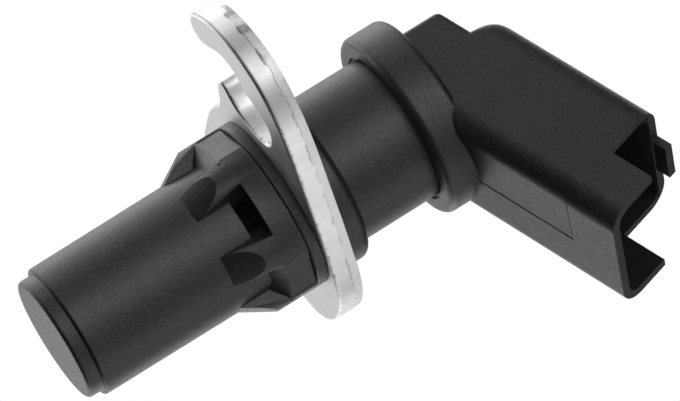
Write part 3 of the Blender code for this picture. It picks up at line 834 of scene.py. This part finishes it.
@dataclass
class RearHousing:
    """Flange, hub, ring, barrel and collar, and the shroud that bends away from them.

    Each row of growth, in millimetres, is a station along the shroud, its far face there, and
    how much narrower it is on each side.
    """

    shop: Workshop
    facets: int = 192
    spigot_start: float = 25.0 * MM
    spigot_radius: float = 7.3 * MM
    spigot_recess: float = 5.2 * MM
    recess_end: float = 27.8 * MM
    seal_station: float = 29.2 * MM
    seal_half: float = 0.9 * MM
    seal_floor: float = 5.9 * MM
    flange_front: float = 30.96 * MM
    flange_radius: float = 11.45 * MM
    plate_front: float = 32.5 * MM
    plate_back: float = 36.0 * MM
    seat: float = 0.03 * MM
    hub_radius: float = 9.4 * MM
    ring_radius: float = 11.35 * MM
    ring_end: float = 39.0 * MM
    ring_round: float = 1.2 * MM
    barrel_radius: float = 9.7 * MM
    collar_start: float = 49.9 * MM
    collar_end: float = 55.5 * MM
    collar_radius: float = 12.5 * MM
    collar_round: float = 1.0 * MM
    groove_radius: float = 10.15 * MM
    groove_depth: float = 0.4 * MM
    bend: float = math.radians(73.45)
    crossing: float = 58.45 * MM
    near_face: float = -7.8 * MM
    far_face: float = 8.15 * MM
    half_width: float = 9.73 * MM
    corner: float = 3.2 * MM
    corner_steps: int = 18
    shroud_wall: float = 1.2 * MM
    shroud_end: float = 26.4 * MM
    lip_end: float = 32.75 * MM
    lip_split: float = -0.1 * MM
    socket_floor: float = 8.0 * MM
    tab_reach: float = 2.16 * MM
    tab_half: float = 3.0 * MM
    tab_thickness: float = 1.1 * MM
    elbow_far: float = 4.1 * MM
    elbow_under: float = -5.1 * MM
    elbow_edge: float = 0.8 * MM
    elbow_sink: float = 2.1 * MM
    elbow_inset: float = 0.005 * MM
    elbow_top: float = 6.0 * MM
    panel_edge: float = -0.82 * MM
    panel_start: float = 3.0 * MM
    panel_end: float = 25.6 * MM
    panel_depth: float = 0.07 * MM
    panel_turn: float = 62.0
    panel_clear: float = 0.01 * MM
    panel_steps: int = 12
    line_width: float = 0.14 * MM
    line_depth: float = 0.22 * MM
    pin_offset: float = 2.6 * MM
    pin_thickness: float = 0.8 * MM
    pin_width: float = 2.8 * MM
    growth: Tuple[Corner, ...] = (
        (-3.0, 3.5, 1.1), (0.4, 3.9, 0.4), (0.7, 4.5, 0.2), (1.0, 5.15, 0.0), (1.3, 5.85, 0.0),
        (1.6, 6.55, 0.0), (1.9, 7.1, 0.0), (2.2, 7.45, 0.0), (2.5, 7.7, 0.0), (2.9, 7.93, 0.0),
        (3.4, 8.07, 0.0), (4.3, 8.15, 0.0), (5.5, 8.15, 0.0), (32.75, 8.15, 0.0),
    )

    def spot(self, t: float, m: float, along: float) -> Vector:
        """Return a point of the shroud: t towards its far face, m across, along its axis."""
        return Vector((self.crossing + along * math.cos(self.bend) + t * math.sin(self.bend), m,
                       along * math.sin(self.bend) - t * math.cos(self.bend)))

    def socket_slabs(self) -> Tuple[Slab, ...]:
        """Return the planes that bound the plug socket."""
        cos, sin, wall = math.cos(self.bend), math.sin(self.bend), self.shroud_wall
        half = self.half_width - wall
        deep, wide = self.crossing * cos, self.crossing * sin
        return (((cos, 0.0, sin), deep + self.socket_floor, deep + self.lip_end - 0.1 * MM),
                ((sin, 0.0, -cos), wide + self.near_face + wall, wide + self.far_face - wall),
                ((0.0, 1.0, 0.0), -half, half))

    def section(self, near: float, far: float, half: float, corner: float,
                along: float) -> List[Vector]:
        """Return a rounded rectangle across the shroud.

        Args:
            near: Its near face.
            far: Its far face.
            half: Half its width.
            corner: Radius of its corners.
            along: Station on the shroud's axis.

        Returns:
            The section's points in order.
        """
        centres = ((far - corner, half - corner, 0.0), (near + corner, half - corner, 90.0),
                   (near + corner, corner - half, 180.0), (far - corner, corner - half, 270.0))
        points = []
        for t, m, start in centres:
            for step in range(self.corner_steps + 1):
                angle = math.radians(start + 90.0 * step / self.corner_steps)
                shift, rise = corner * math.cos(angle), corner * math.sin(angle)
                points.append(self.spot(t + shift, m + rise, along))
        return points

    def spine(self) -> bpy.types.Mesh:
        """Return the turned part, from the spigot to the collar."""
        low, high = self.seal_station - self.seal_half, self.seal_station + self.seal_half
        corners = (
            (self.spigot_start, 0.0, 0.0),
            (self.spigot_start, self.spigot_recess, 0.0),
            (self.recess_end, self.spigot_recess, 0.0),
            (self.recess_end, self.spigot_radius, 0.0),
            (low, self.spigot_radius, 0.0),
            (low, self.seal_floor, 0.0),
            (high, self.seal_floor, 0.0),
            (high, self.spigot_radius, 0.0),
            (self.flange_front, self.spigot_radius, 0.0),
            (self.flange_front, self.flange_radius, 0.25 * MM),
            (self.plate_front - self.seat, self.flange_radius, 0.15 * MM),
            (self.plate_front - self.seat, self.hub_radius, 0.0),
            (self.plate_back + self.seat, self.hub_radius, 0.0),
            (self.plate_back + self.seat, self.ring_radius, 0.1 * MM),
            (self.ring_end, self.ring_radius, self.ring_round),
            (self.ring_end, self.barrel_radius, 0.25 * MM),
            (self.collar_start + self.groove_depth, self.barrel_radius, 0.0),
            (self.collar_start + self.groove_depth, self.groove_radius, 0.0),
            (self.collar_start, self.groove_radius, 0.06 * MM),
            (self.collar_start, self.collar_radius, self.collar_round),
            (self.collar_end, self.collar_radius, self.collar_round),
            (self.collar_end, 0.0, 0.0),
        )
        return turned("spine", corners, self.facets)

    def elbow(self) -> bpy.types.Mesh:
        """Return the flat-sided block behind the collar."""
        corner = (self.elbow_under + self.elbow_far * math.cos(self.bend)) / math.sin(self.bend)
        low = self.spot(self.elbow_far, 0.0, corner)
        high = self.spot(self.elbow_far, 0.0, self.elbow_top)
        root = self.collar_end - self.elbow_sink
        half = self.half_width - self.elbow_inset
        outline = ((root, self.elbow_under), (low.x, self.elbow_under),
                   (high.x, high.z), (root, high.z))
        points = [Vector((x, -half, z)) for x, z in outline]
        return prism("elbow", points, Vector((0.0, 2 * half, 0.0)), self.elbow_edge)

    def shroud(self) -> bpy.types.Mesh:
        """Return the solid shroud, which grows out of the elbow."""
        sections = [self.section(self.near_face, far * MM, self.half_width - less * MM,
                                 self.corner, along * MM)
                    for along, far, less in self.growth]
        return loft("shroud", sections)

    def block(self, name: str, outline: Sequence[Pair], half: float) -> bpy.types.Mesh:
        """Return a prism across the shroud from an outline of (along, t).

        Args:
            name: Name of the mesh.
            outline: Corners as distance along the shroud and towards its far face.
            half: Half its width.

        Returns:
            The prism's mesh.
        """
        points = [self.spot(t, -half, along) for along, t in outline]
        return prism(name, points, Vector((0.0, 2 * half, 0.0)))

    def panel(self, start: float, end: float, depth: float) -> bpy.types.Mesh:
        """Return a shallow cutter on the near face.

        Args:
            start: Where it starts along the shroud.
            end: Where it ends along the shroud.
            depth: Its depth.

        Returns:
            The cutter's mesh.
        """
        centre = (self.near_face + self.corner, self.half_width - self.corner)
        inner = [(self.near_face + depth, self.panel_edge)]
        outer = [(self.near_face - OVER, self.panel_edge)]
        for step in range(self.panel_steps + 1):
            share = step / self.panel_steps
            angle = math.radians(180.0 - self.panel_turn * share)
            cut = self.corner - depth * (1.0 - share) + self.panel_clear * share
            far = self.corner + OVER
            inner.append((centre[0] + cut * math.cos(angle), centre[1] + cut * math.sin(angle)))
            outer.append((centre[0] + far * math.cos(angle), centre[1] + far * math.sin(angle)))
        outline = inner + outer[::-1]
        points = [self.spot(t, m, start) for t, m in outline]
        rise = self.spot(0.0, 0.0, end) - self.spot(0.0, 0.0, start)
        return prism("panel", points, rise)

    def pin_tunnel(self, middle: float) -> bpy.types.Mesh:
        """Return the cutter of one terminal's slot.

        Args:
            middle: The terminal's place across the body.

        Returns:
            The cutter's mesh.
        """
        half = self.pin_width / 2 + GAP
        turn = half * math.tan(self.bend / 2)
        depth = self.socket_floor + OVER
        outer, inner = self.spot(half, 0.0, depth), self.spot(-half, 0.0, depth)
        outline = ((self.spigot_start - OVER, -half), (self.crossing + turn, -half),
                   (outer.x, outer.z), (inner.x, inner.z), (self.crossing - turn, half),
                   (self.spigot_start - OVER, half))
        reach = self.pin_thickness / 2 + GAP
        points = [Vector((x, middle - reach, z)) for x, z in outline]
        return prism("pin tunnel", points, Vector((0.0, 2 * reach, 0.0)))

    def build(self, finish: bpy.types.Material) -> None:
        """Build the piece."""
        end, far = self.lip_end + 2 * OVER, self.far_face + 2 * OVER
        trim = ((self.shroud_end, self.lip_split), (self.shroud_end, far),
                (end, far), (end, self.lip_split))
        tab = ((self.shroud_end - 2.0 * MM, self.far_face - self.tab_thickness),
               (self.shroud_end - 2.0 * MM, self.far_face),
               (self.shroud_end + self.tab_reach, self.far_face),
               (self.shroud_end + self.tab_reach, self.far_face - self.tab_thickness))
        wall, line_start = self.shroud_wall, self.panel_end - self.line_width
        socket = loft("socket", [
            self.section(self.near_face + wall, self.far_face - wall, self.half_width - wall,
                         self.corner - wall, along)
            for along in (self.socket_floor, self.lip_end + OVER)
        ])
        shroud = self.shop.combine(self.shroud(), [
            (Join.CUT, self.panel(self.panel_start, self.panel_end, self.panel_depth)),
            (Join.CUT, self.panel(line_start, self.panel_end, self.line_depth)),
        ])
        steps = [
            (Join.ADD, self.elbow()),
            (Join.ADD, shroud),
            (Join.CUT, self.block("far trim", trim, self.half_width + OVER)),
            (Join.ADD, self.block("tab", tab, self.tab_half)),
            (Join.CUT, socket),
            (Join.CUT, self.pin_tunnel(-self.pin_offset)),
            (Join.CUT, self.pin_tunnel(self.pin_offset)),
        ]
        mesh = self.shop.combine(self.spine(), steps)
        self.shop.piece("rear_moulding", mesh, finish, Slot.REAR, "rear_housing")


@dataclass
class MountingBracket:
    """The stamped plate with its hooked bolt slot.

    Its outline is one smooth closed curve through the knots, each (u, m) in millimetres.
    """

    shop: Workshop
    front: float = 32.5 * MM
    thickness: float = 3.5 * MM
    bore: float = 9.7 * MM
    roll: float = 0.42 * MM
    taper: float = 0.04 * MM
    tear_start: float = 0.62
    tear_depth: float = 0.05 * MM
    tear_coarse: float = 900.0
    tear_fine: float = 2200.0
    facets: int = 144
    stretch_steps: int = 9
    roll_steps: int = 5
    rows: int = 12
    flare: float = 0.4 * MM
    knots: Tuple[Pair, ...] = (
        (0.6, -21.2), (3.9, -20.8), (7.3, -18.2), (10.2, -13.8), (11.9, -9.0), (12.4, -4.5),
        (12.0, 0.5), (11.3, 5.5), (10.4, 10.5), (9.5, 15.5), (8.5, 20.0), (7.0, 24.3),
        (4.4, 28.2), (0.9, 30.4), (-3.0, 30.9), (-7.0, 29.9), (-10.6, 27.7), (-12.2, 25.9),
        (-12.6, 24.1), (-12.0, 22.7), (-10.8, 22.1), (-9.0, 22.8), (-6.8, 24.3), (-4.6, 25.2),
        (-2.8, 24.9), (-1.5, 23.5), (-0.2, 22.4), (1.6, 21.9), (2.9, 21.3), (3.7, 19.9),
        (3.7, 18.0), (3.0, 16.0), (1.6, 14.3), (-0.4, 13.6), (-2.8, 13.5), (-4.8, 13.9),
        (-6.2, 14.9), (-7.1, 16.1), (-8.3, 16.4), (-9.2, 15.1), (-9.8, 12.9), (-10.2, 10.6),
        (-11.2, 8.2), (-12.9, 6.0), (-14.9, 2.9), (-16.4, -0.3), (-17.8, -3.6), (-19.4, -7.7),
        (-19.7, -11.8), (-17.8, -16.2), (-13.9, -18.9), (-9.2, -20.3), (-4.0, -21.0),
    )

    def blank(self) -> bpy.types.Mesh:
        """Return the stamped blank: rolled front edge, straight band, torn rear band."""
        outline = smooth_outline([(u * MM, m * MM) for u, m in self.knots],
                                 self.stretch_steps)
        bm = bmesh.new()
        start = self.front + self.roll
        face = bm.faces.new([bm.verts.new((start, m, u)) for u, m in outline])
        bmesh.ops.recalc_face_normals(bm, faces=bm.faces)
        if face.normal.x > 0.0:
            bmesh.ops.reverse_faces(bm, faces=[face])
        grown = bmesh.ops.extrude_face_region(bm, geom=[face])
        cap = next(item for item in grown["geom"] if isinstance(item, bmesh.types.BMFace))
        rear = face if face.is_valid else None
        for step in range(1, self.roll_steps + 1):
            now, last = (math.radians(90.0 * k / self.roll_steps) for k in (step, step - 1))
            inward = self.roll * (math.cos(last) - math.cos(now))
            forward = self.roll * (math.sin(now) - math.sin(last))
            bmesh.ops.inset_region(bm, faces=[cap], thickness=inward, depth=forward,
                                   use_even_offset=True, use_boundary=True)
        bmesh.ops.recalc_face_normals(bm, faces=bm.faces)
        straight = (self.thickness - self.roll) / self.rows
        for step in range(self.rows):
            torn = (step + 1) / self.rows > self.tear_start
            bmesh.ops.inset_region(bm, faces=[rear], thickness=self.taper / 4 if torn else 0.0,
                                   depth=straight, use_even_offset=True, use_boundary=True)
        edge_x = self.front + self.thickness * self.tear_start
        bm.normal_update()
        for vert in bm.verts:
            if vert.co.x > edge_x:
                swell = noise.noise(vert.co * self.tear_coarse)
                swell += 0.5 * noise.noise(vert.co * self.tear_fine)
                out = Vector((0.0, vert.normal.y, vert.normal.z))
                vert.co += out * swell * self.tear_depth
        return finish_mesh(bm, "blank")

    def build(self, finish: bpy.types.Material) -> None:
        """Build the piece."""
        back = self.front + self.thickness
        cutter = (
            (self.front - OVER, 0.0, 0.0),
            (self.front - OVER, self.bore + OVER + self.flare, 0.0),
            (self.front + self.flare, self.bore, self.flare),
            (back + OVER, self.bore, 0.0),
            (back + OVER, 0.0, 0.0),
        )
        bore = turned("bore", cutter, self.facets)
        mesh = self.shop.combine(self.blank(), [(Join.CUT, bore)])
        self.shop.piece("stamped_bracket", mesh, finish, Slot.BRACKET, "mounting_bracket")


@dataclass
class InnerParts:
    """Finishes of the coil set, terminals and seal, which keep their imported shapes."""

    finishes: Dict[str, PlainFinish]

    def dress(self) -> None:
        """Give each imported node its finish."""
        built = {key: finish.build() for key, finish in self.finishes.items()}
        for name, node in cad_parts.items():
            key = name.rsplit("_", 1)[0] if name[-1].isdigit() else name
            if key in built:
                node.data.materials.clear()
                node.data.materials.append(built[key])
                LOG.info("%s: %s", name, built[key].name)


@dataclass
class Studio:
    """Camera, floor and world, whose glows each have a direction and a strength."""

    lens: float = 262.5077
    sensor: float = 36.0
    spot: Tuple[float, float, float] = (-0.0859058, 0.4980627, 0.3262083)
    across: Tuple[float, float, float] = (0.8299742, -0.1405950, 0.5397925)
    upward: Tuple[float, float, float] = (0.5184240, 0.5515733, -0.6534550)
    backward: Tuple[float, float, float] = (-0.2058626, 0.8221922, 0.5306795)
    floor_drop: float = 0.14
    floor_half: float = 0.32
    floor_middle: Pair = (0.12, -0.37)
    softness: float = 16.0
    glows: Tuple[Tuple[float, float, float, float], ...] = (
        (0.18, 0.13, -0.98, 0.9), (-0.38, 0.04, -0.93, 1.2), (-0.43, -0.46, -0.77, 3.6),
        (-0.05, -1.00, 0.03, 1.6), (0.37, 0.80, 0.47, 2.6), (0.00, 0.57, -0.82, 1.5),
        (0.25, -0.22, -0.94, 2.0), (0.34, -0.45, 0.82, 1.15), (-0.36, -0.86, -0.38, 1.8),
        (-0.13, 0.97, 0.22, 1.3), (-0.19, -0.71, 0.68, 0.7), (0.22, 0.96, -0.18, 0.5),
        (0.04, 0.48, 0.88, 0.5), (0.22, 0.00, 0.97, 0.4), (-0.28, -0.26, 0.93, 0.35))

    def camera(self) -> None:
        """Set the camera at the photograph's viewpoint."""
        data = bpy.data.cameras.new("camera")
        data.lens = self.lens
        data.sensor_width = self.sensor
        data.clip_start = 0.01
        made = bpy.data.objects.new("camera", data)
        bpy.context.scene.collection.objects.link(made)
        turn = Matrix((self.across, self.upward, self.backward)).transposed().to_4x4()
        made.matrix_world = Matrix.Translation(self.spot) @ turn
        bpy.context.scene.camera = made

    def floor(self) -> None:
        """Lay a plain pale floor well below the part."""
        bm = bmesh.new()
        bmesh.ops.create_grid(bm, x_segments=1, y_segments=1, size=self.floor_half)
        bmesh.ops.translate(bm, verts=bm.verts, vec=(*self.floor_middle, -self.floor_drop))
        mesh = bpy.data.meshes.new("floor")
        bm.to_mesh(mesh)
        bm.free()
        made = bpy.data.objects.new("floor", mesh)
        bpy.context.scene.collection.objects.link(made)
        material = bpy.data.materials.new("floor")
        material.use_nodes = True
        tree = material.node_tree
        base = tree.nodes["Principled BSDF"]
        base.inputs["Base Color"].default_value = (0.85, 0.85, 0.85, 1.0)
        base.inputs["Roughness"].default_value = 0.9
        glow = tree.nodes.new("ShaderNodeEmission")
        glow.inputs["Strength"].default_value = 1.0
        path = tree.nodes.new("ShaderNodeLightPath")
        seen = path.outputs["Is Camera Ray"]
        for kind in ("Is Glossy Ray", "Is Transmission Ray"):
            either = tree.nodes.new("ShaderNodeMath")
            either.operation = "MAXIMUM"
            tree.links.new(seen, either.inputs[0])
            tree.links.new(path.outputs[kind], either.inputs[1])
            seen = either.outputs["Value"]
        mix = tree.nodes.new("ShaderNodeMixShader")
        tree.links.new(seen, mix.inputs["Fac"])
        tree.links.new(base.outputs["BSDF"], mix.inputs[1])
        tree.links.new(glow.outputs["Emission"], mix.inputs[2])
        tree.links.new(mix.outputs["Shader"], tree.nodes["Material Output"].inputs["Surface"])
        mesh.materials.append(material)

    def world(self) -> None:
        """Light the part by soft glows round the room; the camera sees plain white."""
        made = bpy.data.worlds.new("room")
        made.use_nodes = True
        tree = made.node_tree
        back = tree.nodes["Background"]
        back.inputs["Color"].default_value = (1.0, 1.0, 1.0, 1.0)
        ray = tree.nodes.new("ShaderNodeTexCoord").outputs["Generated"]

        def maths(operation: str, *values: object) -> bpy.types.NodeSocket:
            """Return the result of one sum on levels of the room."""
            node = tree.nodes.new("ShaderNodeMath")
            node.operation = operation
            for socket, value in zip(node.inputs, values):
                if isinstance(value, bpy.types.NodeSocket):
                    tree.links.new(value, socket)
                else:
                    socket.default_value = value
            return node.outputs["Value"]

        level = maths("ADD", 0.0, 0.0)
        for *direction, strength in self.glows:
            dot = tree.nodes.new("ShaderNodeVectorMath")
            dot.operation = "DOT_PRODUCT"
            tree.links.new(ray, dot.inputs[0])
            dot.inputs[1].default_value = Vector(direction).normalized()
            fall = maths("MULTIPLY_ADD", dot.outputs["Value"], self.softness, -self.softness)
            level = maths("MULTIPLY_ADD", maths("EXPONENT", fall), strength, level)
        seen = tree.nodes.new("ShaderNodeLightPath").outputs["Is Camera Ray"]
        shown = maths("MULTIPLY_ADD", level, maths("SUBTRACT", 1.0, seen), seen)
        tree.links.new(shown, back.inputs["Strength"])
        bpy.context.scene.world = made

    def build(self) -> None:
        """Build the studio."""
        self.camera()
        self.floor()
        self.world()
        view = bpy.context.scene.view_settings
        view.view_transform = "Standard"


def main() -> None:
    """Build the studio, the housings, the bracket and the finishes, in order."""
    logging.basicConfig(level=logging.INFO, format="%(message)s")
    Studio().build()
    shop = Workshop()
    nose = MouldedNylon("black nylon", (0.010, 0.0102, 0.0105), (0.07, 0.07, 0.072), 0.36)
    housing = RearHousing(shop)
    rear = MouldedNylon("black glass-filled nylon", (0.011, 0.0112, 0.0115), (0.08, 0.08, 0.082),
                        0.38, specks=0.35, socket=housing.socket_slabs())
    NoseHousing(shop).build(nose.build())
    housing.build(rear.build())
    bracket = MountingBracket(shop)
    bracket.build(ShearedZincSteel("zinc-plated steel", bracket.front, bracket.thickness).build())
    InnerParts({
        "pole_piece": PlainFinish("soft iron", (0.35, 0.35, 0.36), 1.0, 0.4),
        "magnet": PlainFinish("sintered magnet", (0.12, 0.12, 0.13), 0.6, 0.5, 1500.0, 1.5e-5),
        "coil_bobbin": PlainFinish("natural nylon", (0.75, 0.70, 0.60), 0.0, 0.5),
        "coil_winding": PlainFinish("enamelled copper", (0.62, 0.22, 0.08), 0.9, 0.35, bands=900.0),
        "winding_tape": PlainFinish("winding tape", (0.75, 0.60, 0.12), 0.0, 0.45),
        "potting_resin": PlainFinish("potting resin", (0.05, 0.035, 0.02), 0.0, 0.35, 500.0,
                                     2.0e-5),
        "coil_lead": PlainFinish("enamelled copper wire", (0.62, 0.22, 0.08), 0.9, 0.35),
        "terminal": PlainFinish("tinned brass", (0.70, 0.66, 0.55), 1.0, 0.35),
        "spigot_seal": PlainFinish("seal rubber", (0.03, 0.03, 0.03), 0.0, 0.7, 1500.0, 1.0e-5),
    }).dress()


if __name__ == "__main__":
    main()
